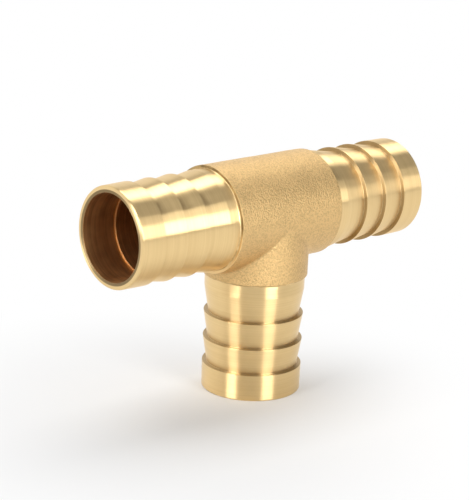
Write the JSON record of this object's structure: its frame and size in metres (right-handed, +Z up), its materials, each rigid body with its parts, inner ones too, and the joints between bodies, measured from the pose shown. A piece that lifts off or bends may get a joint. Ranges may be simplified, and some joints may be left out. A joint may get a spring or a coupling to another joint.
{
  "type": "barbed hose tee",
  "caption": "Brass hose tee: a forged body with turned barbed hose tails brazed into the run ends and the branch, open right through.",
  "frame": {"origin": "centre of the branch's free end, on the surface that the tee stands on", "axes": "+X along the run towards its right end, +Z up along the branch towards the run, +Y away from the front"},
  "size_m": [0.0954, 0.0278, 0.0616],
  "materials": {
    "forged_brass": "forged and blasted, matte, fine pitted grain",
    "turned_brass": "turned bright, fine tool lines round the axis",
    "braze_filler": "smooth, bright, slightly paler than the tails"
  },
  "bodies": {
    "root": {"tee_body": "forged_brass", "run_left_tail": "turned_brass", "run_right_tail": "turned_brass", "branch_tail": "turned_brass", "run_left_braze_ring": "braze_filler", "run_right_braze_ring": "braze_filler", "branch_braze_ring": "braze_filler"}
  },
  "joints": []
}
